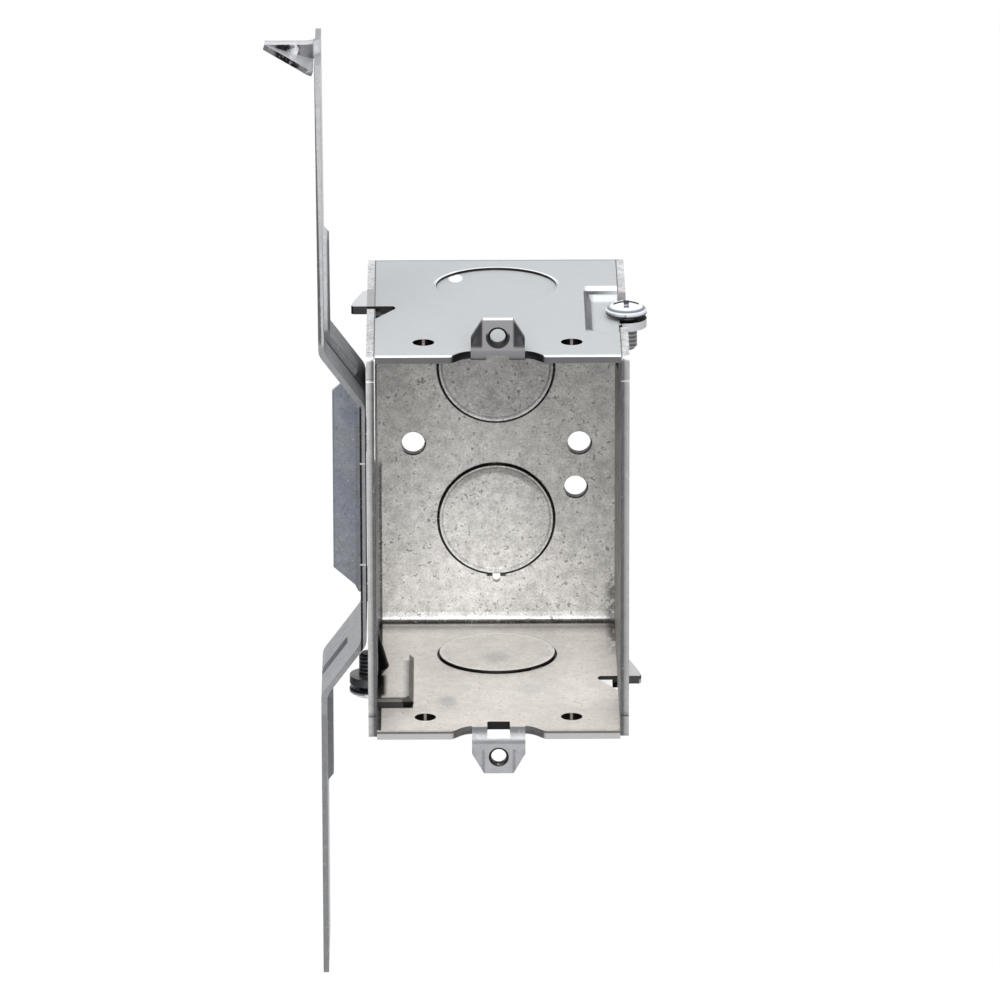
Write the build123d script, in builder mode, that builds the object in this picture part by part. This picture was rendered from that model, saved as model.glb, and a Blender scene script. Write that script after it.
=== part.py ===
import math
import os

from build123d import *

os.makedirs("parts", exist_ok=True)

# Sheet and overall sizes, in mm
sheet = 1.59
half_width = 23.02
half_height = 38.1
depth = 63.5
bend_inner = 1.8
bend_outer = bend_inner + sheet
ear_bend_outer = 2.4
ear_bend_inner = ear_bend_outer - sheet
wall_inner = half_height - sheet

# Device ears on the top and bottom walls
ear_half = 5.05
ear_long = 6.85
ear_end = half_height + ear_long
ear_tip_half = 2.8
ear_shoulder = half_height + 3.1
ear_crease = 2.8
ear_crease_from = half_height + 1.6
ear_hole_z = half_height + 3.57
slot_half = 2.15
slot_back = 5.5
ear_hole_r = 1.45
recess_half = 9.1
recess_deep = 3.0

# Holes and knockouts
wall_hole_x = 13.9
wall_hole_y = 8.1
wall_hole_r = 2.05
wall_knockout_y = 44.0
wall_knockout_r = 11.2
upper_knockout_z = 16.2
lower_knockout_z = -14.9
back_knockout_r = 11.1
shear_gap = 0.35
shear_skin = 0.3
slug_step = 0.5
back_hole_x = 16.1
back_hole_z = 0.65
back_hole_r = 2.25
ground_x = 15.4
ground_z = -8.35
ground_r = 2.2

# Ganging screw, lug and pocket
screw_x = half_width + 1.48
screw_y = 28.3
screw_r = 2.08
screw_clearance = 0.05
screw_seat = half_height - 0.8
screw_long = 6.8
screw_end = screw_seat - screw_long
head_r = 3.95
head_band = 0.9
head_high = 2.4
lug_half = 3.9
pocket_x = half_width - 5.02
pocket_front = 14.0
pocket_back = 38.5
floor_top = wall_inner
floor_bottom = wall_inner - sheet

# Finger and notch
finger_front = 31.0
finger_back = 42.0
finger_tip = half_width + 4.6

# Side plates
plate_half = half_height - 0.3
plate_nick = half_height - 4.9
plate_cut = wall_inner - sheet - 0.32
bulge_wide = plate_cut - 1.4
bulge_apex = plate_cut - 9.0
plate_deep = 62.5
groove_r = screw_r + 0.24
bulge_r = screw_x - half_width + 2.2

# Mounting bracket, centred on its own middle and then set at bracket_z
strap = 1.05
strap_front = 11.1
strap_wide = 25.4
strap_back = strap_front + strap_wide
strap_mid = (strap_front + strap_back) / 2
strap_end = 90.4
strap_gap = 0.35
strap_x = -(half_width + sheet + strap_gap + strap)
bracket_z = 0.87
arm_x = -33.65
arm_lean = 0.35
knee_in = 23.5
knee_out = 33.8
knee_r = 3.0
rib_half = 2.8
rib_high = 1.1
rib_from = 26.0
rib_to = 55.4
flange_x = strap_x - 5.4
flange_bend = 0.75 * strap
flange_high = 22.9
flange_low = -21.5
flange_top = 18.9
flange_bottom = -16.5
weld_z = 15.0
spur_tip = arm_x - 9.8
spur_low = strap_end - 3.5
spur_front = 19.0
spur_back = 28.2
spur_bend = 2.0
spur_notch = 17.3
spur_notch_deep = 2.75


def turned(tool, turn):
    """The same tool turned about the depth axis."""
    return tool.part.rotate(Axis.Y, turn)


# Upper device ear: bent up from the wall, with its corners cut and eased back
with BuildPart() as ear:
    with BuildSketch(Plane.YZ):
        with BuildLine():
            FilletPolyline(
                (7, wall_inner), (0, wall_inner), (0, ear_crease_from), radius=ear_bend_outer - 0.01
            )
            Line((0, ear_crease_from), (sheet, ear_crease_from))
            FilletPolyline(
                (sheet, ear_crease_from), (sheet, half_height), (7, half_height), radius=ear_bend_inner
            )
            Line((7, half_height), (7, wall_inner))
        make_face()
    extrude(amount=ear_half, both=True)
    for level, lean in ((ear_crease_from, 0.0), (ear_crease_from + 2.0, 0.5), (ear_end, 0.8)):
        with BuildSketch(Plane.XY.offset(level)):
            with BuildLine():
                Polyline(
                    (-ear_half, lean), (-ear_crease, 0), (ear_crease, 0), (ear_half, lean),
                    (ear_half, sheet + lean), (ear_crease, sheet), (-ear_crease, sheet), (-ear_half, sheet + lean),
                    close=True,
                )
            make_face()
    loft(ruled=True)
    with BuildSketch(Plane.XZ):
        with BuildLine():
            Polyline(
                (-ear_half, wall_inner - 0.5), (ear_half, wall_inner - 0.5), (ear_half, ear_shoulder),
                (ear_tip_half, ear_end), (-ear_tip_half, ear_end), (-ear_half, ear_shoulder), close=True,
            )
        make_face()
    extrude(amount=10, both=True, mode=Mode.INTERSECT)

# Slot through the bend of an ear
with BuildPart() as ear_slot:
    with BuildSketch(Plane.YZ):
        with BuildLine():
            Polyline(
                (sheet + 0.8, half_height + 0.8), (-0.85, half_height - 0.5), (-0.85, wall_inner - 1.5),
                (slot_back, wall_inner - 1.5), (slot_back, half_height + 0.8), close=True,
            )
        make_face()
    extrude(amount=slot_half, both=True)
    fillet(edges().filter_by(Axis.Z).sort_by(Axis.Y)[-2:], 0.4)

# Opening in the wall above the pressed pocket
with BuildPart() as pocket_opening:
    with BuildSketch(Plane.XY.offset(half_height + 0.01)):
        with BuildLine():
            Polyline(
                (pocket_x - 0.9, pocket_back + 2.5), (pocket_x - 0.9, pocket_front + 1.9), (pocket_x + 0.7, pocket_front),
                (half_width + 0.1, pocket_front), (half_width + 0.1, pocket_back + 2.5), close=True,
            )
        make_face()
    with BuildSketch(Plane.XY.offset(floor_top)):
        with BuildLine():
            Polyline(
                (pocket_x, pocket_back), (pocket_x, pocket_front + 1.9), (pocket_x + 1.2, pocket_front),
                (half_width + 0.1, pocket_front), (half_width + 0.1, pocket_back), close=True,
            )
        make_face()
    loft(ruled=True)

# Floor of the pocket and the tapped lug that carries it outwards
with BuildPart() as pocket_floor:
    with BuildSketch(Plane.XY.offset(floor_top)):
        with BuildLine():
            Polyline(
                (pocket_x - 1.9, pocket_back + 3.5), (pocket_x - 1.9, pocket_front + 1.6), (pocket_x, pocket_front - 0.4),
                (half_width, pocket_front - 0.4), (half_width, pocket_back + 3.5), close=True,
            )
        make_face()
    with BuildSketch(Plane.XY.offset(floor_bottom)):
        with BuildLine():
            Polyline(
                (pocket_x - 1.0, pocket_back + 1.0), (pocket_x - 1.0, pocket_front + 1.8), (pocket_x + 0.4, pocket_front - 0.2),
                (half_width, pocket_front - 0.2), (half_width, pocket_back + 1.0), close=True,
            )
        make_face()
    loft(ruled=True)
    with BuildSketch(Plane.XY.offset(floor_bottom)):
        with BuildLine():
            Polyline(
                (half_width - 1, screw_y - lug_half - 1.1), (half_width, screw_y - lug_half - 1.1),
                (half_width + 0.9, screw_y - lug_half), (screw_x, screw_y - lug_half),
                (screw_x, screw_y + lug_half), (half_width + 0.9, screw_y + lug_half),
                (half_width, screw_y + lug_half + 1.1), (half_width - 1, screw_y + lug_half + 1.1), close=True,
            )
        make_face()
        with Locations((screw_x, screw_y)):
            Circle(lug_half)
    extrude(amount=sheet)
    with BuildSketch(Plane.XY.offset(floor_bottom - 0.1)):
        with Locations((screw_x, screw_y)):
            Circle(screw_r + screw_clearance)
    extrude(amount=sheet + 0.1, mode=Mode.SUBTRACT)

# Finger on the neighbouring corner, flush with the wall
with BuildPart() as finger:
    with BuildSketch(Plane.XY.offset(wall_inner)):
        with BuildLine():
            Polyline(
                (-half_width + 1, finger_front), (-finger_tip + 0.4, finger_front), (-finger_tip, finger_front + 0.5),
                (-finger_tip + 0.35, finger_front + 2.6), (-finger_tip + 2.1, finger_back - 1.6),
                (-half_width - 1.0, finger_back - 0.2), (-half_width + 1, finger_back), close=True,
            )
        make_face()
    extrude(amount=sheet)

# Notch in front of the finger, for the next box's screw
with BuildPart() as notch:
    with BuildSketch(Plane.XY.offset(wall_inner - 0.5)):
        with BuildLine():
            Polyline(
                (-half_width + 3.3, finger_front), (-half_width - 1, finger_front), (-half_width - 1, finger_front - 8.4),
                (-half_width, finger_front - 8), (-half_width + 3.4, finger_front - 2.3),
            )
            ThreePointArc(
                (-half_width + 3.4, finger_front - 2.3), (-half_width + 3.8, finger_front - 1.2),
                (-half_width + 3.3, finger_front),
            )
        make_face()
    extrude(amount=sheet + 1)

# Knockouts: plane on the outer face, slug radius, angle of the two webs, depth of the dish in the slug
knockouts = (
    (Plane(origin=(0, wall_knockout_y, half_height), x_dir=(1, 0, 0), z_dir=(0, 0, 1)), wall_knockout_r, 132, 0),
    (Plane(origin=(0, wall_knockout_y, -half_height), x_dir=(1, 0, 0), z_dir=(0, 0, -1)), wall_knockout_r, 48, 0),
    (Plane(origin=(0, depth, upper_knockout_z), x_dir=(1, 0, 0), z_dir=(0, 1, 0)), back_knockout_r, 50, 0.4),
    (Plane(origin=(0, depth, lower_knockout_z), x_dir=(1, 0, 0), z_dir=(0, 1, 0)), back_knockout_r, 90, 0.4),
)

with BuildPart() as box_shell:
    with BuildSketch(Plane.YZ):
        with BuildLine():
            FilletPolyline(
                (0, half_height), (depth, half_height), (depth, -half_height), (0, -half_height), radius=bend_outer
            )
            Line((0, -half_height), (0, -wall_inner))
            FilletPolyline(
                (0, -wall_inner), (depth - sheet, -wall_inner), (depth - sheet, wall_inner), (0, wall_inner),
                radius=bend_inner,
            )
            Line((0, wall_inner), (0, half_height))
        make_face()
    extrude(amount=half_width, both=True)

    # Recess in the front edges, with an S curve on each side of the ear
    with BuildSketch(Plane.XY):
        with BuildLine():
            Bezier((-recess_half, 0), (1 - recess_half, 0.15), (-7.2, recess_deep - 0.1), (-ear_half, recess_deep))
            Line((-ear_half, recess_deep), (ear_half, recess_deep))
            Bezier((ear_half, recess_deep), (7.2, recess_deep - 0.1), (recess_half - 1, 0.15), (recess_half, 0))
            Polyline((recess_half, 0), (recess_half, -1), (-recess_half, -1), (-recess_half, 0))
        make_face()
    extrude(amount=50, both=True, mode=Mode.SUBTRACT)

    for turn in (0, 180):
        add(turned(ear, turn))
        add(turned(pocket_opening, turn), mode=Mode.SUBTRACT)
        add(turned(pocket_floor, turn))
        add(turned(notch, turn), mode=Mode.SUBTRACT)
        add(turned(finger, turn))

    # Slot through the bend of each ear, and the tapped device hole
    for side, turn in ((1, 0), (-1, 180)):
        add(turned(ear_slot, turn), mode=Mode.SUBTRACT)
        face = Plane(origin=(0, 0, side * ear_hole_z), x_dir=(1, 0, 0), z_dir=(0, 1, 0))
        with BuildSketch(face):
            Circle(ear_hole_r)
        extrude(amount=3, mode=Mode.SUBTRACT)
        with BuildSketch(face.offset(-0.01)):
            Circle(ear_hole_r + 0.4)
        extrude(amount=0.41, taper=44, mode=Mode.SUBTRACT)

    # Small round holes in the top and bottom walls
    with BuildSketch(Plane.XY):
        with Locations((wall_hole_x, wall_hole_y), (-wall_hole_x, wall_hole_y)):
            Circle(wall_hole_r)
    extrude(amount=50, both=True, mode=Mode.SUBTRACT)

    # Knockouts: a slug set in a little, a sheared ring with a skin left in it, and two webs
    for face, radius, angle, dish in knockouts:
        with BuildSketch(face):
            Circle(radius + shear_gap)
        extrude(amount=-2 * sheet, mode=Mode.SUBTRACT)
        with BuildSketch(face.offset(-slug_step)):
            Circle(radius)
        extrude(amount=-sheet)
        with BuildSketch(face.offset(-slug_step)):
            Circle(radius + shear_gap + 0.1)
        extrude(amount=-shear_skin)
        with BuildSketch(face.offset(-slug_step)):
            with PolarLocations(radius + shear_gap / 2, 2, start_angle=angle):
                Rectangle(shear_gap + 0.8, 3.0)
        extrude(amount=-(sheet - slug_step))
        if dish:
            with BuildSketch(face.offset(-slug_step - sheet)):
                Circle(radius - 0.4)
            extrude(amount=dish, taper=45, mode=Mode.SUBTRACT)

    # Pry notch under the lower back knockout, and the back wall's holes
    notch_top = lower_knockout_z - back_knockout_r - shear_gap
    with BuildSketch(Plane.XZ.offset(-depth)):
        with Locations((0, notch_top - 0.3)):
            Rectangle(1.5, 1.2)
        with Locations((0, notch_top - 0.9)):
            Circle(0.75)
        with Locations((back_hole_x, back_hole_z), (-back_hole_x, back_hole_z)):
            Circle(back_hole_r)
        with Locations((ground_x, ground_z)):
            Circle(ground_r)
    extrude(amount=2 * sheet, mode=Mode.SUBTRACT)
box_shell.part.label = "box_shell"
export_step(box_shell.part, "parts/box_shell.step")

# Inward bulge of a side plate round the screw, and the groove that clears the shank
with BuildPart() as bulge:
    with BuildSketch(Plane(origin=(screw_x, screw_y, 0), x_dir=(1, 0, 0), z_dir=(0, -1, 0))):
        with BuildLine():
            Polyline(
                (0, bulge_apex), (screw_x - half_width, bulge_apex), (bulge_r, bulge_wide),
                (bulge_r - 1.2, plate_cut), (0, plate_cut), close=True,
            )
        make_face()
    revolve(axis=Axis((screw_x, screw_y, 0), (0, 0, 1)))
    with Locations((half_width + sheet / 2, screw_y, bulge_wide)):
        Box(10, 20, 20, align=(Align.MAX, Align.CENTER, Align.CENTER), mode=Mode.INTERSECT)

with BuildPart() as groove:
    with BuildSketch(Plane(origin=(screw_x, screw_y, 0), x_dir=(1, 0, 0), z_dir=(0, -1, 0))):
        with BuildLine():
            Polyline(
                (0, screw_end - 3.2), (1.0, screw_end - 2.4), (groove_r, screw_end - 0.1),
                (groove_r, plate_cut + 1.5), (0, plate_cut + 1.5), close=True,
            )
        make_face()
    revolve(axis=Axis((screw_x, screw_y, 0), (0, 0, 1)))

with BuildPart() as right_side_plate:
    with BuildSketch(Plane.YZ.offset(half_width)):
        with Locations((plate_deep / 2, 0)):
            RectangleRounded(plate_deep, 2 * plate_half, 1.0)
        # Notch for the pocket and lug above, and for the finger below
        with Locations((screw_y + 0.7, plate_half)):
            Rectangle(22.0, 2 * (plate_half - plate_cut), mode=Mode.SUBTRACT)
        with Locations(((finger_front + finger_back) / 2, -plate_half)):
            Rectangle(finger_back - finger_front + 1.4, 2 * (plate_half - wall_inner + 0.31), mode=Mode.SUBTRACT)
        # Small nicks in the front edge
        with Locations((0, plate_nick), (0, -plate_nick)):
            Rectangle(1.3, 0.8, mode=Mode.SUBTRACT)
    extrude(amount=sheet)
    add(bulge.part)
    add(groove.part, mode=Mode.SUBTRACT)
    # Foot that hooks into the mouth of the wall's notch
    with Locations((half_width, finger_front - 2.6, -plate_half + 0.9)):
        Box(2.0, 2.8, 1.1)
right_side_plate.part.label = "right_side_plate"
export_step(right_side_plate.part, "parts/right_side_plate.step")

with BuildPart() as left_side_plate:
    add(turned(right_side_plate, 180))
left_side_plate.part.label = "left_side_plate"
export_step(left_side_plate.part, "parts/left_side_plate.step")

# Machine screw with a domed head and a cross recess
dome_high = head_high - head_band
dome_r = (head_r ** 2 + dome_high ** 2) / (2 * dome_high)
dome_half = math.asin(head_r / dome_r) / 2
with BuildPart() as right_side_screw:
    with BuildSketch(Plane(origin=(screw_x, screw_y, screw_seat), x_dir=(1, 0, 0), z_dir=(0, -1, 0))):
        with BuildLine():
            Polyline(
                (0, -screw_long), (screw_r - 0.5, -screw_long), (screw_r, 0.6 - screw_long), (screw_r, 0),
                (head_r - 0.2, 0), (head_r, 0.2), (head_r, head_band),
            )
            ThreePointArc(
                (head_r, head_band),
                (dome_r * math.sin(dome_half), head_high - dome_r * (1 - math.cos(dome_half))), (0, head_high),
            )
            Line((0, head_high), (0, -screw_long))
        make_face()
    revolve(axis=Axis((screw_x, screw_y, 0), (0, 0, 1)))
    with BuildSketch(Plane.XY.offset(screw_seat + head_high + 0.1)):
        with Locations((screw_x, screw_y)):
            Rectangle(4.8, 1.0)
            Rectangle(1.0, 4.8)
    extrude(amount=-1.6, mode=Mode.SUBTRACT)
right_side_screw.part.label = "right_side_screw"
export_step(right_side_screw.part, "parts/right_side_screw.step")

with BuildPart() as left_side_screw:
    add(turned(right_side_screw, 180))
left_side_screw.part.label = "left_side_screw"
export_step(left_side_screw.part, "parts/left_side_screw.step")

# Stud bracket: outer face of the joggled strap, from its top end down
strap_path = (
    (arm_x - arm_lean, strap_end), (arm_x, knee_out), (strap_x, knee_in),
    (strap_x, -knee_in), (arm_x, -knee_out), (arm_x, -strap_end),
)


def beside(gap):
    """The strap's path, moved towards the box by a set distance."""
    moved = []
    for index, (x, z) in enumerate(strap_path):
        normals = []
        for start in (index - 1, index):
            if 0 <= start < len(strap_path) - 1:
                (x_a, z_a), (x_b, z_b) = strap_path[start], strap_path[start + 1]
                long = math.hypot(x_b - x_a, z_b - z_a)
                normals.append(((z_a - z_b) / long, (x_b - x_a) / long))
        (u_a, w_a), (u_b, w_b) = normals[0], normals[-1]
        part_of = gap / (1 + u_a * u_b + w_a * w_b)
        moved.append((x + (u_a + u_b) * part_of, z + (w_a + w_b) * part_of))
    return moved


def at_height(gap, leg, height):
    """Point at a height on one leg of the moved path."""
    (x_a, z_a), (x_b, z_b) = beside(gap)[leg:leg + 2]
    return (x_a + (x_b - x_a) * (height - z_a) / (z_b - z_a), height)


def rib_outline(base, rise, start, stop, side):
    """Rib beside the strap's box face, from the incline round the bend to the arm."""
    incline, corner, arm = (1, 1, 0) if side > 0 else (3, 4, 4)
    return (
        at_height(base, incline, side * start), at_height(rise, incline, side * (start + 1.6)), beside(rise)[corner],
        at_height(rise, arm, side * (stop - 2.0)), at_height(base, arm, side * stop), beside(base)[corner],
    )


# Raised rib and the groove behind it, at each end of the strap
with BuildPart() as ribs:
    for side in (1, -1):
        with BuildSketch(Plane.XZ.offset(-(strap_mid - rib_half))):
            with BuildLine():
                Polyline(*rib_outline(strap / 2, strap + rib_high, rib_from, rib_to, side), close=True)
            make_face()
        extrude(amount=-2 * rib_half)

with BuildPart() as grooves:
    for side in (1, -1):
        with BuildSketch(Plane.XZ.offset(-(strap_mid - rib_half + 0.8))):
            with BuildLine():
                Polyline(*rib_outline(-0.6, rib_high, rib_from + 0.6, rib_to - 0.6, side), close=True)
            make_face()
        extrude(amount=-2 * (rib_half - 0.8))

# Spur: a tooth turned out of the strap's edge, with a flange folded forward below it
spur_x = arm_x - arm_lean
with BuildPart() as spur:
    with BuildSketch(Plane.XY.offset(spur_low)):
        with BuildLine():
            FilletPolyline(
                (spur_x, spur_back + 4), (spur_x, spur_back), (spur_tip, spur_back), radius=spur_bend
            )
            Line((spur_tip, spur_back), (spur_tip, spur_back - strap))
            FilletPolyline(
                (spur_tip, spur_back - strap), (spur_x + strap, spur_back - strap), (spur_x + strap, spur_back + 4),
                radius=spur_bend + strap,
            )
            Line((spur_x + strap, spur_back + 4), (spur_x, spur_back + 4))
        make_face()
    extrude(amount=strap_end - spur_low)
    with BuildSketch(Plane.XZ):
        with BuildLine():
            Polyline(
                (spur_x + 2 * strap, strap_end), (spur_tip, strap_end), (spur_tip, strap_end - 0.5),
                (spur_x, spur_low), (spur_x + 2 * strap, spur_low), close=True,
            )
        make_face()
    extrude(amount=-60, mode=Mode.INTERSECT)
    spur_run = math.hypot(spur_x - spur_tip, strap_end - 0.5 - spur_low)
    with BuildSketch(
        Plane(origin=(spur_tip, 0, strap_end - 0.5), x_dir=(spur_x - spur_tip, 0, spur_low - strap_end + 0.5),
              z_dir=(strap_end - 0.5 - spur_low, 0, spur_x - spur_tip))
    ):
        with BuildLine():
            Polyline(
                (0, spur_back), (0, spur_back - strap), (spur_run - 1.1, spur_front), (spur_run - 0.3, spur_front),
                (spur_run - 0.3, spur_back), close=True,
            )
        make_face()
    extrude(amount=-strap)

with BuildPart() as mounting_bracket:
    with BuildSketch(Plane.XZ.offset(-strap_front)):
        with BuildLine():
            Polyline(*strap_path, *reversed(beside(strap)), close=True)
        make_face()
        for hollow, round_side in ((1, 0), (2, 1), (3, 1), (4, 0)):
            for gap in (0, strap):
                x, z = beside(gap)[hollow]
                corner = [v for v in vertices() if math.hypot(v.X - x, v.Y - z) < 0.01]
                fillet(corner, knee_r + (strap if (gap == 0) == (round_side == 1) else 0))
    extrude(amount=-strap_wide)
    add(ribs.part)
    add(grooves.part, mode=Mode.SUBTRACT)

    # Flange bent outwards along the back edge of the middle
    bend_end = strap_back - strap - flange_bend - 0.05
    with Locations((strap_x + strap / 2, strap_back, (flange_high + flange_low) / 2)):
        Box(strap + 0.4, 2 * (strap_back - bend_end), flange_high - flange_low, mode=Mode.SUBTRACT)
    with BuildSketch(Plane.XY.offset(flange_low)):
        with BuildLine():
            FilletPolyline(
                (strap_x + strap, bend_end), (strap_x + strap, strap_back), (flange_x, strap_back),
                radius=flange_bend + strap,
            )
            Line((flange_x, strap_back), (flange_x, strap_back - strap))
            FilletPolyline(
                (flange_x, strap_back - strap), (strap_x, strap_back - strap), (strap_x, bend_end), radius=flange_bend
            )
            Line((strap_x, bend_end), (strap_x + strap, bend_end))
        make_face()
    extrude(amount=flange_high - flange_low)
    with BuildSketch(Plane.XZ.offset(-strap_back - 1)):
        with BuildLine():
            Polyline(
                (flange_x - 1, flange_high + 1), (flange_x - 1, flange_top), (flange_x, flange_top),
                (strap_x - 0.8, flange_high), (strap_x - 0.8, flange_high + 1), close=True,
            )
        make_face()
        with BuildLine():
            Polyline(
                (flange_x - 1, flange_low - 1), (flange_x - 1, flange_bottom), (flange_x, flange_bottom),
                (strap_x - 1.3, flange_low + 1.4), (strap_x - 0.6, flange_low), (strap_x - 0.6, flange_low - 1),
                close=True,
            )
        make_face()
    extrude(amount=4, mode=Mode.SUBTRACT)

    # Notch in the top end, the spur beside it, and the weld bosses
    with Locations((arm_x, spur_notch, strap_end)):
        Box(
            6 * strap, spur_back + spur_bend - spur_notch, 2 * spur_notch_deep,
            align=(Align.CENTER, Align.MIN, Align.CENTER), mode=Mode.SUBTRACT,
        )
    add(spur.part)
    for y in (strap_mid - 5.5, strap_mid + 5.5):
        for z in (-weld_z, weld_z):
            with Locations(Location((strap_x + strap - 0.2, y, z - bracket_z), (0, 90, 0))):
                Cylinder(1.6, strap_gap + 0.2, align=(Align.CENTER, Align.CENTER, Align.MIN))
placed_bracket = mounting_bracket.part.moved(Location((0, 0, bracket_z)))
placed_bracket.label = "mounting_bracket"
export_step(placed_bracket, "parts/mounting_bracket.step")
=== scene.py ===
import math

import bpy
from mathutils import Matrix, Vector

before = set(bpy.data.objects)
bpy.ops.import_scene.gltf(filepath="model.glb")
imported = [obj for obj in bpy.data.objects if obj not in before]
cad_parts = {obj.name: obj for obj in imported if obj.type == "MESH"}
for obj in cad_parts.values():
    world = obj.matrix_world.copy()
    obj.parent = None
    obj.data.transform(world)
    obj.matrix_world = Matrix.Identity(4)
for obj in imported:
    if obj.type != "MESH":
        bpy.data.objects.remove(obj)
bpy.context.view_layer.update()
print("frame loaded", len(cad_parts))

# Places of features in the solids, in mm from the middle of the box's front
screwX, screwY = 24.5, 28.3
slugY = 44.0  # knockouts in the top and bottom walls
slugLevels = (16.2, -14.9)  # knockouts in the back wall
wallHoleX, wallHoleY = 13.9, 8.1
earHoleZ = 41.67
backHoles = ((16.1, 0.65, 2.25), (-16.1, 0.65, 2.25), (15.4, -8.35, 2.2))  # x, z, radius
sightRun = 2.99  # depth that the photograph's line of sight covers for 1 mm of height


# A socket with the operators that Math and Mix nodes need
class Wire:
    def __init__(self, tree, socket):
        self.tree = tree
        self.socket = socket

    def math(self, kind, *others):
        node = self.tree.nodes.new("ShaderNodeMath")
        node.operation = kind
        for slot, item in zip(node.inputs, (self,) + others):
            join(self.tree, item, slot)
        return Wire(self.tree, node.outputs[0])

    def __add__(self, other):
        return self.math("ADD", other)

    __radd__ = __add__

    def __mul__(self, other):
        return self.math("MULTIPLY", other)

    def __sub__(self, other):
        return self.math("SUBTRACT", other)

    def __rsub__(self, other):
        return (self * -1.0) + other

    def __neg__(self):
        return self * -1.0

    def absolute(self):
        return self.math("ABSOLUTE")

    def capped(self):
        return self.math("MINIMUM", 1.0)

    def above(self, edge, soft):
        return self.ramp(edge - soft, edge + soft)

    def below(self, edge, soft):
        return self.ramp(edge - soft, edge + soft, 1.0, 0.0)

    def between(self, low, high, soft):
        return self.above(low, soft) * self.below(high, soft)

    def ramp(self, low, high, start=0.0, stop=1.0):
        node = self.tree.nodes.new("ShaderNodeMapRange")
        node.interpolation_type = "SMOOTHSTEP"
        join(self.tree, self, node.inputs["Value"])
        node.inputs["From Min"].default_value = low
        node.inputs["From Max"].default_value = high
        node.inputs["To Min"].default_value = start
        node.inputs["To Max"].default_value = stop
        return Wire(self.tree, node.outputs[0])

    def tint(self, other, factor, kind="MIX"):
        node = self.tree.nodes.new("ShaderNodeMix")
        node.data_type = "RGBA"
        node.blend_type = kind
        join(self.tree, factor, node.inputs[0])
        join(self.tree, self, node.inputs[6])
        join(self.tree, other, node.inputs[7])
        return Wire(self.tree, node.outputs[2])


def join(tree, item, slot):
    if isinstance(item, Wire):
        tree.links.new(item.socket, slot)
    elif isinstance(item, tuple) and len(item) == 3 and slot.type == "RGBA":
        slot.default_value = (*item, 1.0)
    else:
        slot.default_value = item


# Screen tone of 0 to 255 as the linear value that a shader takes
def tone(*levels):
    return tuple(((level / 255 + 0.055) / 1.055) ** 2.4 for level in levels)


# A material's node tree, with masks that are 1 on one part of the piece and 0 elsewhere
class Sheet:
    def __init__(self, name, tones=None):
        self.material = bpy.data.materials.new(name)
        self.material.use_nodes = True
        self.tree = self.material.node_tree
        self.shader = self.tree.nodes["Principled BSDF"]
        self.place = self.make("TexCoord", "Object")
        self.x, self.y, self.z = [axis * 1000.0 for axis in self.split(self.place)]
        self.nx, self.ny, self.nz = self.split(self.make("NewGeometry", "Normal"))
        self.high, self.wide = self.z.absolute(), self.x.absolute()
        self.upper, self.lower = self.z.above(0, 1), self.z.below(0, 1)
        # Faces by their direction
        self.front = (-self.ny).above(0.6, 0.15)
        self.behind = self.ny.above(0.6, 0.2)
        self.up = self.nz.above(0.6, 0.15)
        self.down = self.nz.below(-0.6, 0.15)
        self.upright = self.nz.absolute().below(0.5, 0.15)
        if tones:
            self.tones = tones
            self.color = self.make("RGB")
            self.paint("metal", 1.0)

    # Lays a tone over the ones before it, as far as its mask says
    def paint(self, key, mask):
        self.color = self.color.tint(tone(*self.tones[key]), mask)

    def make(self, kind, output=0, **inputs):
        node = self.tree.nodes.new("ShaderNode" + kind)
        for key, value in inputs.items():
            join(self.tree, value, node.inputs[key.replace("_", " ")])
        return Wire(self.tree, node.outputs[output])

    def split(self, wire):
        node = self.tree.nodes.new("ShaderNodeSeparateXYZ")
        join(self.tree, wire, node.inputs[0])
        return [Wire(self.tree, output) for output in node.outputs]

    def scaled(self, scale):
        node = self.tree.nodes.new("ShaderNodeVectorMath")
        node.operation = "MULTIPLY"
        join(self.tree, self.place, node.inputs[0])
        node.inputs[1].default_value = scale
        return Wire(self.tree, node.outputs[0])

    def noise(self, scale, detail, rough, stretch=None):
        vector = self.scaled(stretch) if stretch else self.place
        return self.make("TexNoise", 0, Vector=vector, Scale=scale, Detail=detail, Roughness=rough)

    # Distance in mm from a line along one axis
    def far(self, first, at, second, along):
        a, b = first - at, second - along
        return (a * a + b * b).math("SQRT")

    def bump(self, height, distance, strength):
        return self.make("Bump", 0, Height=height, Distance=distance, Strength=strength)

    def finish(self, color, rough, normal, metallic):
        join(self.tree, color, self.shader.inputs["Base Color"])
        join(self.tree, rough, self.shader.inputs["Roughness"])
        join(self.tree, metallic, self.shader.inputs["Metallic"])
        if normal:
            join(self.tree, normal, self.shader.inputs["Normal"])
        return self.material


# Zinc skin: how fine each pattern is, what it weighs, and its tones
zinc = {
    "spangle": 700.0, "mottle": 480.0, "cloud": 60.0, "grain": 2600.0,
    "speck": 1250.0, "flake": 1500.0, "scratch": 500.0,
    "mottleWeight": 1.3, "spangleWeight": 0.10, "cloudWeight": 0.6, "grainWeight": 1.3,
    "warm": (196, 176, 160), "warmShare": 0.16,
    "bright": (242, 242, 238), "brightShare": 0.34,
    "pit": (64, 63, 62), "pitShare": 0.62,
    "rough": 0.42, "metallic": 0.55, "reliefDepth": 0.00005,
}


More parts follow.
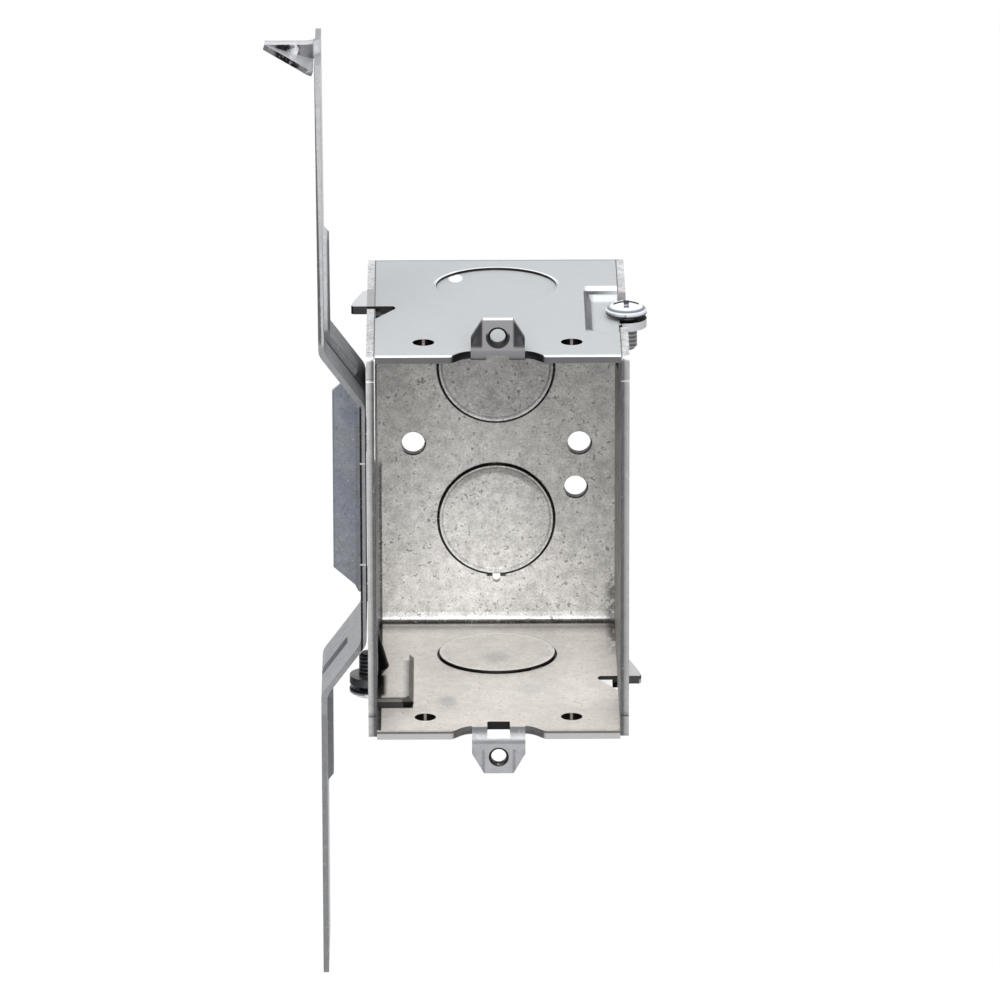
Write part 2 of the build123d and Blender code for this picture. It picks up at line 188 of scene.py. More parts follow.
# Lays the zinc skin over a sheet's tones: specks, pits, spangle and fine scratches
def galvanized(sheet, pits, rough=zinc["rough"], metallic=zinc["metallic"]):
    cells = sheet.make("TexVoronoi", "Color", Vector=sheet.place, Scale=zinc["spangle"])
    spangle = sheet.split(cells)[0] - 0.5
    mottle = sheet.noise(zinc["mottle"], 4.0, 0.65) - 0.5
    cloud = sheet.noise(zinc["cloud"], 3.0, 0.5) - 0.5
    grain = sheet.noise(zinc["grain"], 2.0, 0.6)
    speck = sheet.noise(zinc["speck"], 2.0, 0.6)
    flake = sheet.noise(zinc["flake"], 2.0, 0.6, (1.3, 1.0, 0.9))
    scratch = sheet.noise(zinc["scratch"], 3.0, 0.6, (0.08, 1.0, 1.4))
    soft = mottle * zinc["mottleWeight"] + spangle * zinc["spangleWeight"]
    soft = soft + cloud * zinc["cloudWeight"] + (grain - 0.5) * zinc["grainWeight"]
    lift = 1.0 + soft * (pits * 0.9 + 0.03)
    shade = sheet.make("CombineColor", 0, Red=lift, Green=lift, Blue=lift)
    dark = (speck + mottle * 0.35).ramp(0.60, 0.72) * pits
    color = sheet.color.tint(shade, 1.0, "MULTIPLY")
    color = color.tint(tone(*zinc["warm"]), flake.ramp(0.58, 0.70) * pits * zinc["warmShare"])
    color = color.tint(tone(*zinc["bright"]), flake.ramp(0.38, 0.28) * pits * zinc["brightShare"])
    color = color.tint(tone(*zinc["pit"]), dark * zinc["pitShare"])
    # A dark tone keeps its darkness only without the plain gloss on top
    deep = sheet.make("RGBToBW", 0, Color=color).ramp(0.16, 0.04)
    metallic = deep * (1.0 - metallic) + metallic
    rough = spangle * 0.10 + (grain - 0.5) * 0.12 + dark * 0.25 + rough
    height = grain * 0.25 + scratch * 0.25 - dark * 0.6 + spangle * 0.1
    relief = sheet.bump(height, zinc["reliefDepth"], pits * 0.6 + 0.08)
    return sheet.finish(color, rough, relief, metallic)


# Tones of the shell, as screen levels of 0 to 255, most of them painted light and shade by face and place
shellTones = {
    "metal": (150, 149, 148), "behind": (158, 159, 160), "lid": (183, 187, 190),
    "back": (186, 185, 182), "backLow": (214, 212, 208), "backRight": (202, 201, 198),
    "upperSlug": (170, 169, 167), "floor": (252, 246, 239), "floorMiddle": (230, 225, 219),
    "floorFront": (222, 216, 210), "floorRear": (170, 168, 164), "stain": (184, 183, 181),
    "footLight": (240, 240, 239), "footDark": (80, 79, 77), "topBend": (132, 133, 135),
    "seamShade": (98, 97, 96), "seamShadeCore": (58, 57, 57), "corner": (78, 76, 74),
    "cut": (58, 56, 55), "cutHighlight": (238, 238, 236),
    "wallHole": (22, 20, 19), "wallHoleGlint": (120, 112, 108),
    "rimUpper": (90, 90, 92), "rimHighlight": (250, 250, 250),
    "rimLower": (160, 158, 157), "rimLine": (96, 94, 92),
    "flankUpper": (52, 52, 54), "flankLower": (100, 99, 98),
    "earUpper": (124, 124, 127), "earWingShade": (58, 58, 61), "earTopHighlight": (236, 236, 238),
    "earLower": (148, 149, 152), "earCreaseShade": (126, 126, 130),
    "bendUpper": (112, 112, 115), "bendShade": (64, 64, 66), "bendLower": (118, 119, 122),
    "earSlot": (54, 53, 54), "earHole": (50, 49, 50),
    "pocketHighlight": (250, 251, 252), "pocketShadeLine": (84, 86, 89),
    "pocketSlope": (196, 200, 203), "pocketSideShade": (92, 94, 98),
    "lowPocketSide": (92, 90, 87), "lowPocketSlope": (96, 94, 92),
    "lowPocketLine": (50, 49, 48), "lowPocketShadow": (48, 47, 46),
    "finger": (216, 217, 219), "fingerFront": (70, 70, 72), "lugUpper": (176, 178, 181),
    "lugLower": (92, 93, 96), "lugHeadShadow": (14, 14, 15), "fingerRoot": (172, 172, 174),
    "fingerRootLine": (96, 96, 98), "wallRing": (46, 44, 42), "floorRing": (70, 67, 63),
    "floorRingLight": (248, 246, 242), "lidRingHighlight": (236, 238, 240), "lidHighlightSpot": (252, 252, 253),
    "backRing": (40, 38, 36), "backRingLight": (222, 221, 219), "backRingShade": (108, 106, 104),
    "hole": (44, 42, 41), "holeShade": (52, 50, 49),
    "pryDark": (56, 54, 52), "pryLight": (236, 235, 232),
}
stains = (  # x, y, half width and half depth in mm, strength
    (-9.6, 16.6, 1.8, 3.2, 0.7), (-0.2, 40.7, 2.7, 3.0, 0.6), (6.0, 24.0, 3.0, 2.5, 0.35),
)


def shellSheet():
    s = Sheet("shell_galvanized", shellTones)
    back = s.front * s.y.above(60.0, 0.5)
    floor = s.up * s.z.below(-33.0, 0.3) * s.wide.below(23.1, 0.05)
    lid = s.up * s.z.above(36.3, 0.2)
    # Painted light and shade by face and place: the lid and floor lighter where light falls, the back wall
    # lighter towards the bottom and at the right, the upper knockout and the floor's rear darker in the
    # lid's painted shade, the floor darker at its front and middle
    s.paint("behind", s.behind)
    s.paint("back", back)
    s.paint("backLow", back * s.z.ramp(0.0, -32.0))
    s.paint("backRight", back * s.x.ramp(9.0, 20.0) * s.z.ramp(-20.0, 5.0) * 0.6)
    s.paint("upperSlug", back * s.far(s.x, 0.0, s.z, slugLevels[0]).below(11.0, 0.2))
    s.paint("floor", floor)
    s.paint("floorMiddle", floor * s.wide.ramp(18.0, 9.0))
    s.paint("floorFront", floor * s.y.ramp(22.0, 10.0))
    s.paint("lid", lid)
    s.paint("floorRear", floor * s.y.ramp(55.0, 60.5) * 0.8)
    for x, y, halfWide, halfDeep, strength in stains:
        away = s.far(s.x * (1.0 / halfWide), x / halfWide, s.y * (1.0 / halfDeep), y / halfDeep)
        s.paint("stain", floor * away.ramp(1.5, 0.4) * strength)
    # Bends at the back: a painted highlight and a painted shade line on the lower bend, painted shade on
    # the upper bend
    foot = s.y.above(59.0, 0.4) * s.nz.above(-0.2, 0.1) * s.ny.below(0.3, 0.1)
    s.paint("footLight", foot * s.z.between(-35.5, -34.1, 0.12))
    s.paint("footDark", foot * s.z.between(-36.3, -35.55, 0.12))
    s.paint("topBend", s.z.above(37.0, 0.2) * s.y.above(60.2, 0.4))
    # Painted shade in the joint along the left plate, and painted shade in the corner at the right
    seamShade = s.x.between(-23.1, -22.25, 0.08) * s.y.between(1.0, 62.0, 0.4)
    seamShade = seamShade * (floor + back * s.z.below(-3.4, 1.5)).capped()
    s.paint("seamShade", seamShade)
    s.paint("seamShadeCore", seamShade * s.x.above(-22.75, 0.12))
    # Noise breaks up the corner's painted shade
    cornerShadeBreakup = s.noise(700.0, 3.0, 0.6, (1.0, 0.5, 1.0)).ramp(0.40, 0.56)
    corner = (s.z.between(-37.0, -27.0, 1.5) * back + floor * s.y.ramp(40.0, 54.0)).capped()
    s.paint("corner", s.x.ramp(20.8, 22.4) * corner * cornerShadeBreakup * 0.8)
    # Sheared edges of holes, notches, slots and fingers: painted shade on them, a painted highlight on
    # those by the lower right finger, and painted shade with a painted glint in the holes of the top and
    # bottom walls
    cut = s.high.above(34.8, 0.1) * s.upright * s.y.above(0.6, 0.2) * s.y.below(61.0, 0.3)
    s.paint("cut", cut)
    fingerEdge = s.z.below(-37.3, 0.1) * s.x.above(15.0, 0.5) * s.y.between(27.0, 46.0, 0.5)
    s.paint("cutHighlight", cut * fingerEdge)
    wallHole = cut * s.far(s.wide, wallHoleX, s.y, wallHoleY).below(2.3, 0.05)
    s.paint("wallHole", wallHole)
    s.paint("wallHoleGlint", wallHole * (s.wide - wallHoleX).absolute().below(0.25, 0.12))
    # Front edges of the top and bottom walls, and the slopes beside their ears: painted shade on the upper
    # edge with a painted highlight along its top, a lighter lower edge with a painted shade line, and
    # painted shade on the slopes
    rim = s.front * s.y.below(4.0, 0.4) * s.high.between(36.2, 38.3, 0.1) * s.wide.above(4.9, 0.1)
    s.paint("rimUpper", rim * s.upper)
    s.paint("rimHighlight", rim * s.z.above(37.72, 0.1))
    s.paint("rimLower", rim * s.lower)
    s.paint("rimLine", rim * s.z.between(-36.95, -36.2, 0.1))
    flank = s.ny.below(-0.25, 0.08) * s.y.between(0.3, 3.6, 0.15)
    flank = flank * s.wide.between(5.0, 9.2, 0.1) * s.high.between(36.2, 38.0, 0.1)
    s.paint("flankUpper", flank * s.upper)
    s.paint("flankLower", flank * s.lower)
    # Ears: painted shade on the wings and a painted highlight on the top of the upper one, plain tones on
    # the lower one with painted shade in its creases
    ear = s.wide.below(5.3, 0.05) * s.high.above(38.3, 0.3) * s.y.below(3.4, 0.3)
    s.paint("earUpper", ear * s.upper)
    s.paint("earWingShade", ear * s.z.above(39.6, 0.4) * s.wide.above(2.9, 0.25))
    s.paint("earTopHighlight", ear * s.z.above(44.5, 0.2) * s.up)
    s.paint("earLower", ear * s.lower)
    s.paint("earCreaseShade", ear * s.z.below(-40.2, 0.3) * s.wide.between(2.6, 3.2, 0.1))
    # Painted shade on the ears' bends, darkest on the upper bend's inner part
    earBend = s.wide.below(5.3, 0.05) * s.y.below(2.6, 0.3) * s.high.between(36.0, 39.0, 0.2)
    s.paint("bendUpper", earBend * s.upper)
    s.paint("bendShade", earBend * s.z.between(36.0, 37.2, 0.3))
    s.paint("bendLower", earBend * s.lower)
    # Painted shade in the ears' slots and in their holes
    bore = s.far(s.wide, 0.0, s.high, earHoleZ)
    slotBand = s.z.above(38.5, 0.5) * s.z.below(42.3, 0.4)
    s.paint("earSlot", bore.between(1.8, 2.25, 0.08) * s.front * slotBand)
    boreWall = s.high.above(39.5, 0.1) * (1.0 - s.front * bore.above(1.9, 0.02))
    s.paint("earHole", bore.below(1.95, 0.05) * boreWall)
    # Pressed pocket in the top wall: bands along the photograph's line of sight
    pocket = s.z.above(36.4, 0.1) * s.x.between(16.6, 23.02, 0.05) * (1.0 - s.down)
    sight = s.y + (s.z - 38.1) * sightRun
    # In the pocket: a painted highlight at its back, a painted shade line, a lit slope and painted shade
    # on its inner side
    s.paint("pocketHighlight", pocket * sight.between(40.7, 43.4, 0.5) * s.x.above(17.0, 0.4))
    s.paint("pocketShadeLine", pocket * sight.between(38.0, 40.2, 0.4) * s.x.ramp(24.0, 18.0, 0.3, 1.0))
    s.paint("pocketSlope", pocket * sight.between(33.0, 37.5, 0.8) * s.x.above(18.4, 0.5))
    s.paint("pocketSideShade", pocket * sight.between(15.2, 39.0, 1.2) * s.x.ramp(18.7, 16.8))
    # The same in the bottom wall: painted shade on the side, slope and line, and a painted shadow beside
    # the left plate
    lowPocket = s.z.below(-34.0, 0.1) * s.x.between(-23.02, -16.2, 0.05) * (1.0 - s.down)
    lowSight = s.y + (s.z + 36.5) * sightRun
    s.paint("lowPocketSide", lowPocket * lowSight.between(14.0, 40.7, 0.4) * s.x.ramp(-18.5, -16.4))
    s.paint("lowPocketSlope", lowPocket * lowSight.between(16.8, 19.6, 0.4))
    s.paint("lowPocketLine", lowPocket * lowSight.between(13.2, 16.9, 0.3))
    s.paint("lowPocketShadow", lowPocket * lowSight.between(20.5, 32.5, 1.2) * s.x.ramp(-20.9, -22.0))
    # Fingers, lugs, and the root of the upper finger where it passes the left plate: painted light on the
    # fingers' tops and painted shade on their fronts, a lit upper lug and a shaded lower lug, a painted
    # shadow under the upper screw's head, and a painted shade line at the root
    finger = s.wide.above(24.65, 0.05) * (s.x * s.z).below(0, 1)
    s.paint("finger", finger * s.up)
    s.paint("fingerFront", finger * s.front * s.y.below(36.0, 0.2))
    fromScrew = s.far(s.wide, screwX, s.y, screwY)
    lug = fromScrew.below(4.3, 0.05) * s.wide.above(23.2, 0.1) * (s.x * s.z).above(0, 1)
    s.paint("lugUpper", lug * s.upright * s.upper)
    s.paint("lugLower", lug * s.upright * s.lower)
    s.paint("lugHeadShadow", lug * s.up * s.upper * fromScrew.below(4.15, 0.05))
    root = s.wide.between(23.02, 24.6, 0.04) * s.y.between(30.5, 43.0, 0.1)
    root = root * s.z.above(37.9, 0.1) * s.up
    s.paint("fingerRoot", root)
    s.paint("fingerRootLine", root * s.wide.below(23.2, 0.06))
    # Sheared rings round the knockouts of the top and bottom walls: painted shade in the rings, a painted
    # light lip inside the floor's ring, and on the lid a painted highlight along the far side of the ring
    # and a painted highlight spot
    fromSlug = s.far(s.wide, 0.0, s.y, slugY)
    ring = fromSlug.between(11.12, 11.62, 0.04) * s.high.above(34.5, 0.1)
    s.paint("wallRing", ring * s.upright)
    s.paint("floorRing", ring * floor * 0.9)
    s.paint("floorRingLight", floor * fromSlug.between(10.4, 11.1, 0.15) * 0.6)
    s.paint("lidRingHighlight", lid * fromSlug.between(11.6, 12.1, 0.12) * s.y.above(46.0, 2.0))
    s.paint("lidHighlightSpot", lid * s.far(s.x, -7.8, s.y * 0.5, 25.2).below(1.3, 0.25))
    # Sheared rings round the knockouts of the back wall: painted shade in the rings, a painted light lip
    # along their lower side and painted shade inside their upper side
    for level in slugLevels:
        fromSlug = s.far(s.x, 0.0, s.z, level)
        disc = s.y.above(60.5, 0.2)
        rise = s.z - level
        s.paint("backRing", disc * fromSlug.between(11.0, 11.55, 0.05))
        s.paint("backRingLight", disc * fromSlug.between(10.45, 10.98, 0.1) * rise.ramp(2.0, -8.0) * 0.8)
        s.paint("backRingShade", disc * fromSlug.between(9.3, 10.7, 0.4) * rise.ramp(2.0, 9.0) * 0.7)
    # Painted shade in the back wall's holes, with a painted shade rim on their lower right
    for x, z, radius in backHoles:
        fromHole = s.far(s.x, x, s.z, z)
        rear = s.y.above(61.0, 0.2)
        s.paint("hole", rear * fromHole.below(radius + 0.06, 0.03))
        lowSide = (s.x * 0.5 - s.z).above(x * 0.5 - z + 0.4, 0.8)
        s.paint("holeShade", rear * fromHole.between(radius, radius + 0.3, 0.06) * lowSide)
    # Pry notch at the lower knockout: painted shade in it and a painted highlight above it
    s.paint("pryDark", back * s.wide.below(1.9, 0.3) * s.z.between(-26.75, -26.05, 0.1))
    s.paint("pryLight", back * s.wide.below(2.2, 0.4) * s.z.between(-25.5, -24.9, 0.15))
    pits = back * 0.95 + floor * 0.40 + s.behind * 0.8 + s.down * 0.6 + lid * 0.04
    pits = (pits + ear * s.lower * 0.3).capped()
    inside = s.high.below(37.4, 0.1) * s.wide.below(22.9, 0.05) * s.y.between(1.0, 62.2, 0.3)
    # The lid takes more roughness and less metal, the inside less metal
    return galvanized(s, pits, lid * 0.18 + 0.40, 0.55 - inside * 0.35 - lid * 0.3)


# Tones of the side plates, some of them painted light and shade by face, and what differs between the two
plateTones = {
    "metal": (150, 150, 151), "inside": (120, 119, 119), "outside": (168, 169, 170),
    "innerEdge": (86, 86, 89), "lowerJointShade": (52, 52, 54), "top": (202, 203, 205),
    "topLine": (104, 104, 106), "smear": (196, 128, 116), "nickHighlight": (236, 236, 236),
    "nickShade": (70, 70, 70), "streakDark": (62, 61, 61), "streakLight": (190, 189, 187),
    "beakDarkReflection": (20, 19, 19),
}
# The upper joint tone is painted shade on the right plate and a painted highlight on the left one
plateSides = {
    "right": {"front": (124, 124, 124), "upperJointShading": (70, 70, 70), "outerEdge": (144, 144, 144)},
    "left": {"front": (132, 132, 132), "upperJointShading": (226, 226, 226), "outerEdge": (160, 160, 160)},
}


# Outwards is the sign of x on the plate's own side of the box
def plateSheet(side, outwards):
    s = Sheet(side + "_plate_galvanized", {**plateTones, **plateSides[side]})
    inside = (s.nx * outwards).below(-0.6, 0.15)
    outside = (s.nx * outwards).above(0.6, 0.15)
    across = s.x * outwards
    front = s.front * s.y.below(1.0, 0.2)
    # The inside darker and the outside lighter are painted shade and painted light by face; along the
    # joint with the shell, painted shade below 17.4 mm and the joint's painted shading above
    s.paint("inside", inside)
    s.paint("outside", outside)
    s.paint("front", front)
    s.paint("innerEdge", front * across.between(23.1, 23.65, 0.15))
    s.paint("upperJointShading", front * across.below(23.12, 0.05) * s.z.above(17.4, 0.6))
    s.paint("lowerJointShade", front * across.below(23.12, 0.05) * s.z.below(17.4, 0.6))
    s.paint("outerEdge", front * across.above(24.05, 0.25))
    # Painted light on the top edge, with a painted shade line along its inner side
    top = s.up * s.z.above(37.0, 0.2)
    s.paint("top", top)
    s.paint("topLine", top * across.below(23.25, 0.1))
    # Small reddish smear on the right plate's top edge
    s.paint("smear", top * s.far(s.x * 0.5, 11.8, s.y * 0.7, 27.6).below(0.8, 0.5))
    # Painted highlight on the side nearer the box's middle height and painted shade on the far side of the
    # small nicks in the front edge
    nick = s.high.between(32.6, 33.8, 0.05) * s.y.below(1.5, 0.2) * s.nz.absolute().above(0.5, 0.1)
    s.paint("nickHighlight", nick * s.high.below(33.2, 0.1))
    s.paint("nickShade", nick * s.high.above(33.2, 0.1))
    streak = s.noise(760.0, 3.0, 0.65, (1.0, 0.34, 0.7))
    s.paint("streakDark", inside * streak.ramp(0.50, 0.41) * 0.5)
    s.paint("streakLight", inside * streak.ramp(0.53, 0.61) * 0.4)
    # The small foot that hooks into the wall's notch, painted near black as a dark reflection
    beakDarkReflection = across.below(22.93, 0.04) * s.high.above(24.0, 0.5)
    s.paint("beakDarkReflection", beakDarkReflection)
    pits = inside + outside * 0.8 + front * 0.35 + s.up - beakDarkReflection
    return galvanized(s, pits.math("MAXIMUM", 0.0))


# Tones of the bracket, as screen levels of 0 to 255, most of them painted light and shade by face and
# place
bracketTones = {
    "metal": (150, 152, 155), "armFront": (158, 159, 161), "armFrontLine": (84, 85, 87),
    "armFrontLower": (110, 111, 113), "armUpper": (196, 197, 200), "armLower": (172, 173, 176),
    "armShade": (118, 119, 121), "ribLitSide": (198, 200, 203), "ribShadedSide": (96, 97, 99),
    "middleFront": (112, 112, 114), "incline": (176, 178, 181), "inclineLine": (84, 86, 88),
    "inclineShade": (72, 73, 76), "lowIncline": (146, 149, 153), "kneeFront": (122, 124, 127),
    "edgeDark": (34, 34, 36), "edgeLight": (138, 138, 141), "edgeTick": (192, 192, 194),
    "flange": (130, 133, 140), "flangeEdge": (92, 96, 104), "flangeBlue": (112, 120, 134),
    "grooveShade": (74, 75, 78), "spurFront": (104, 104, 108), "spurShadow": (24, 24, 26),
    "spurTop": (186, 186, 190), "spurPatch": (206, 206, 210), "spurFold": (176, 177, 181),
}
tickLevels = (24.99, 13.2, -6.9)  # bright ticks on the front edge of the strap


def bracketSheet():
    s = Sheet("bracket_galvanized", bracketTones)
    right = s.nx.above(0.5, 0.1)
    left = s.nx.below(-0.5, 0.1)
    armFront = s.front * s.high.above(36.5, 1.0)
    armRight = right * s.high.above(36.5, 1.0)
    middleFront = s.front * s.high.below(24.5, 0.5)
    spurLevel = s.z.above(84.0, 0.5)
    # Arms and the ribs over their knees: painted light and shade by face, a painted shade line on the
    # upper front, painted shade towards the front of the arms' right faces, and a lit and a shaded side on
    # the ribs
    s.paint("armFront", armFront)
    leaning = s.x + s.z * 0.0165
    s.paint("armFrontLine", armFront * leaning.below(-32.42, 0.06) * s.upper)
    s.paint("armFrontLower", armFront * s.lower)
    s.paint("armUpper", armRight * s.upper)
    s.paint("armLower", armRight * s.lower)
    s.paint("armShade", armRight * s.y.ramp(20.0, 12.5) * (1.0 - spurLevel))
    raised = s.y.between(20.6, 27.2, 0.3) * s.z.between(30.0, 57.0, 1.0)
    raised = raised * s.x.above(-33.0, 0.1) * (1.0 - left)
    s.paint("ribLitSide", raised * s.x.below(-32.0, 0.3))
    s.paint("ribShadedSide", raised * s.x.above(-31.95, 0.15))
    # Middle of the strap and the inclines beside it: painted light and shade by face, with a painted shade
    # line and painted shade on the upper incline
    s.paint("middleFront", middleFront)
    s.paint("incline", right * s.z.between(22.0, 36.0, 0.5))
    incline = right * s.z.between(24.0, 35.0, 0.5)
    s.paint("inclineLine", incline * s.y.between(19.8, 21.3, 0.3))
    s.paint("inclineShade", incline * s.z.ramp(30.0, 25.0) * s.y.above(20.0, 4.0))
    s.paint("lowIncline", left * s.z.between(-36.0, -22.0, 0.5))
    s.paint("kneeFront", s.front * s.high.between(24.5, 36.5, 0.5))
    # Front edge of the strap beside the left plate: a dark and a light line, with bright ticks
    edge = middleFront * s.y.below(12.5, 0.3)
    s.paint("edgeDark", edge * s.x.between(-26.03, -25.62, 0.06))
    s.paint("edgeLight", edge * s.x.between(-25.6, -25.0, 0.08))
    for level in tickLevels:
        tick = s.z.between(level - 0.16, level + 0.16, 0.08)
        s.paint("edgeTick", edge * s.x.above(-26.1, 0.1) * tick)
    # Flange bent outwards along the back edge of the middle
    flange = middleFront * s.x.below(-26.4, 0.1) * s.y.above(34.0, 0.3)
    s.paint("flange", flange)
    flangeEdge = (s.x.above(-27.0, 0.3) + s.x.below(-31.1, 0.2)).capped()
    s.paint("flangeEdge", flange * flangeEdge * 0.6)
    # Groove behind the rib on the lower incline, its middle at a depth of 23.8 mm
    grooveBand = (s.y - 23.8).absolute().below(1.556, 0.071)
    groove = left * grooveBand * s.z.between(-34.0, -27.0, 0.4) * s.x.above(-32.6, 0.2)
    s.paint("grooveShade", groove)
    # Spur at the top end: a darker front with a painted shadow in patches, lighter patches, and painted
    # light on its top and upward fold
    spur = s.x.below(-34.3, 0.2) * spurLevel
    s.paint("spurFront", spur * s.front)
    patch = s.noise(420.0, 3.0, 0.6)
    shadow = s.z.above(87.95, 0.1) * s.x.between(-41.4, -37.0, 0.5) * patch.ramp(0.32, 0.42)
    s.paint("spurShadow", spur * s.front * shadow)
    s.paint("spurTop", spur * s.z.above(90.75, 0.1))
    s.paint("spurPatch", spur * patch.ramp(0.46, 0.36) * s.x.above(-38.5, 0.8) * 0.6)
    s.paint("spurFold", spur * s.nz.above(0.3, 0.1) * s.z.below(90.6, 0.2))
    s.paint("flangeBlue", flange * s.noise(180.0, 2.0, 0.5).ramp(0.45, 0.65) * 0.6)
    pits = flange * 0.3 + left * 0.5 + right * 0.25 + s.front * 0.25 + s.behind * 0.8
    return galvanized(s, pits.capped())


# Tones of the side screws, most of them painted light and shade, the look of their thread, and what
# differs between the two
screwTones = {
    "metal": (112, 116, 124), "crownRing": (128, 135, 148), "crown": (250, 251, 253),
    "crownEdge": (232, 234, 238), "slot": (92, 96, 102), "bandLight": (206, 208, 212),
    "bandDark": (48, 50, 55), "threadLight": (150, 153, 158), "threadDark": (40, 41, 44),
}
# The left screw's darker shank is painted shade
screwSides = {"right": {"shank": (108, 108, 108)}, "left": {"shank": (64, 64, 64)}}
thread = {"pitch": 0.79, "depth": 0.00025}  # in mm, and in metres of bump


# Outwards is 1 for the screw with its head up and -1 for the one with its head down
def screwSheet(side, outwards):
    s = Sheet(side + "_screw_zinc", {**screwTones, **screwSides[side]})
    axisX = screwX * outwards
    radius = s.far(s.x, axisX, s.y, screwY)
    level = s.z * outwards
    crown = (s.nz * outwards).above(0.35, 0.15) * level.above(37.7, 0.1)
    # Painted highlight on the crown and on its edge, with a darker bluish ring between
    s.paint("crownRing", crown * radius.between(3.15, 3.55, 0.15))
    s.paint("crown", crown * radius.below(3.15, 0.2))
    s.paint("crownEdge", crown * radius.above(3.65, 0.08))
    # The cross recess lies under the dome that the head would have without it, and is painted in shade
    underDome = (level + radius * radius * 0.084).below(39.5, 0.05)
    s.paint("slot", underDome * radius.below(2.6, 0.05) * level.above(37.8, 0.05))
    # Painted light on the head's side next to the crown and painted shade next to the shank
    band = level.between(37.3, 38.3, 0.05) * (1.0 - crown)
    s.paint("bandLight", band * level.above(37.8, 0.15))
    s.paint("bandDark", band * level.below(37.75, 0.15))
    # Thread on the shank: painted light and shade on its flanks
    shank = level.below(37.25, 0.03)
    angle = (s.y - screwY).math("ARCTAN2", s.x - axisX)
    turn = (s.z * (2.0 * math.pi / thread["pitch"]) + angle * outwards).math("SINE")
    s.paint("shank", shank)
    s.paint("threadLight", shank * turn.above(0.45, 0.4) * 0.5)
    s.paint("threadDark", shank * turn.below(-0.45, 0.4) * 0.6)
    mottle = s.noise(600.0, 3.0, 0.5)
    rough = mottle.ramp(0.3, 0.8, 0.16, 0.32) + shank * 0.15
    height = mottle * 0.1 + shank * turn * 0.5
    return s.finish(s.color, rough, s.bump(height, thread["depth"], 0.6), 0.75)


materials = {
    "box_shell": shellSheet(),
    "right_side_plate": plateSheet("right", 1.0),
    "left_side_plate": plateSheet("left", -1.0),
    "mounting_bracket": bracketSheet(),
    "right_side_screw": screwSheet("right", 1.0),
    "left_side_screw": screwSheet("left", -1.0),
}
for node, material in materials.items():
    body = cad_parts[node]
    for slot in body.material_slots:
        slot.material = material
print("materials set")

# Floor and world: white to the camera and in reflections, plain light on the object
studio = {
    "floorSize": 12, "floorPlace": (0, 1.0, -0.40), "floorGrey": 0.9, "floorRough": 0.8,
    "floorGlow": 1.02, "glowSeen": 0.97, "glowMirrored": 0.75,
}
bpy.ops.mesh.primitive_plane_add(size=studio["floorSize"], location=studio["floorPlace"])
floor = bpy.context.object
floor.name = "floor"
pale = Sheet("floor_pale")
pale.finish((studio["floorGrey"],) * 3, studio["floorRough"], None, 0.0)
seen = pale.make("LightPath", "Is Camera Ray") * studio["glowSeen"]
mirrored = pale.make("LightPath", "Is Glossy Ray")
mirrored = mirrored.math("MAXIMUM", pale.make("LightPath", "Is Transmission Ray"))
shown = seen.math("MAXIMUM", mirrored * studio["glowMirrored"])
glow = pale.make("Emission", 0, Color=(1.0, 1.0, 1.0), Strength=studio["floorGlow"])
blend = pale.tree.nodes.new("ShaderNodeMixShader")
join(pale.tree, shown, blend.inputs[0])
pale.tree.links.new(pale.shader.outputs[0], blend.inputs[1])
pale.tree.links.new(glow.socket, blend.inputs[2])
pale.tree.links.new(blend.outputs[0], pale.tree.nodes["Material Output"].inputs[0])
floor.data.materials.append(pale.material)

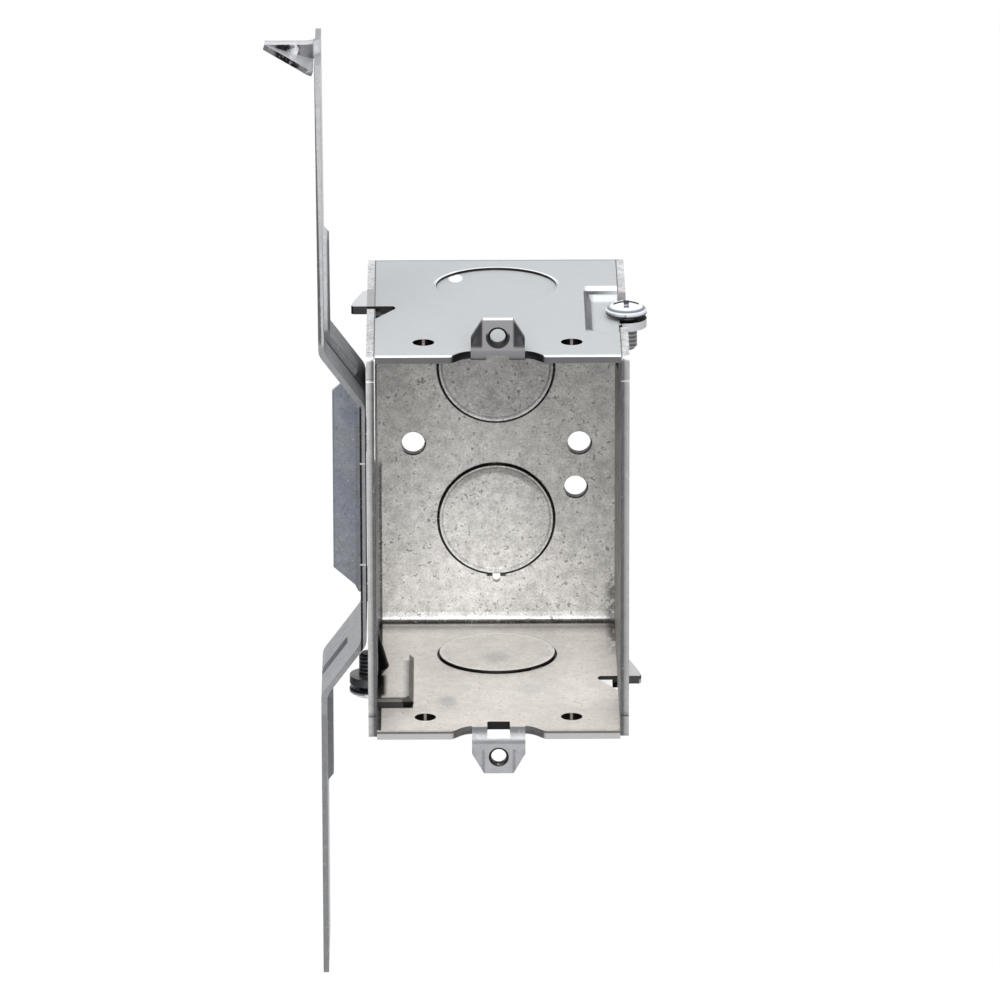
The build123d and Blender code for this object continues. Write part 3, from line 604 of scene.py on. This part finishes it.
world = bpy.data.worlds.new("studio")
bpy.context.scene.world = world
world.use_nodes = True
tree = world.node_tree
sky = tree.nodes["Background"]
coord = tree.nodes.new("ShaderNodeTexCoord")
axes = tree.nodes.new("ShaderNodeSeparateXYZ")
tree.links.new(coord.outputs["Generated"], axes.inputs[0])
skyY, skyZ = Wire(tree, axes.outputs[1]), Wire(tree, axes.outputs[2])
path = tree.nodes.new("ShaderNodeLightPath")
rays = [Wire(tree, path.outputs[key]) for key in ("Is Camera Ray", "Is Glossy Ray", "Is Transmission Ray")]
white = rays[0].math("MAXIMUM", rays[1]).math("MAXIMUM", rays[2])
plain = skyZ.ramp(-0.5, 0.7, 0.30, 0.55) + skyY.ramp(-0.8, 0.8, 0.15, -0.10)
join(tree, (1.0, 1.0, 1.0), sky.inputs[0])
join(tree, plain * (1.0 - white) + white, sky.inputs[1])

# Area lamps: where each stands, its two sizes in metres and its power in watts
lamps = {
    "key": {"place": (-0.20, -0.60, 0.95), "size": (0.8, 0.6), "power": 8.0},
    "front": {"place": (0.08, -1.15, 0.55), "size": (0.9, 0.6), "power": 13.5},
}
lampAim = Vector((0, 0.03, 0))
for name, lamp in lamps.items():
    light = bpy.data.lights.new(name, "AREA")
    light.shape = "RECTANGLE"
    light.size, light.size_y = lamp["size"]
    light.energy = lamp["power"]
    item = bpy.data.objects.new(name, light)
    bpy.context.collection.objects.link(item)
    item.location = lamp["place"]
    item.rotation_euler = (lampAim - item.location).to_track_quat("-Z", "Y").to_euler()
print("light set")

# Camera at the photograph's viewing angle, its frame taken as 1000 by 1000
view = {
    "azimuth": -0.368, "elevation": 18.516, "roll": -0.13, "distance": 1.8,
    "target": (0.00053, 0.030, -0.00042), "focal": 9430.16,
}
azimuth, elevation, roll = (math.radians(view[key]) for key in ("azimuth", "elevation", "roll"))
level = math.cos(elevation)
back = Vector((math.sin(azimuth) * level, -math.cos(azimuth) * level, math.sin(elevation)))
right = Vector((math.cos(azimuth), math.sin(azimuth), 0))
up = back.cross(right)
side = right * math.cos(roll) + up * math.sin(roll)
top = up * math.cos(roll) - right * math.sin(roll)
eye = Vector(view["target"]) + back * view["distance"]
cameraData = bpy.data.cameras.new("camera")
cameraData.sensor_width = 36
cameraData.lens = view["focal"] / 1000 * cameraData.sensor_width
cameraData.clip_end = 30
camera = bpy.data.objects.new("camera", cameraData)
bpy.context.collection.objects.link(camera)
camera.matrix_world = Matrix((
    (side.x, top.x, back.x, eye.x),
    (side.y, top.y, back.y, eye.y),
    (side.z, top.z, back.z, eye.z),
    (0, 0, 0, 1),
))
bpy.context.scene.camera = camera
bpy.context.scene.view_settings.view_transform = "Standard"
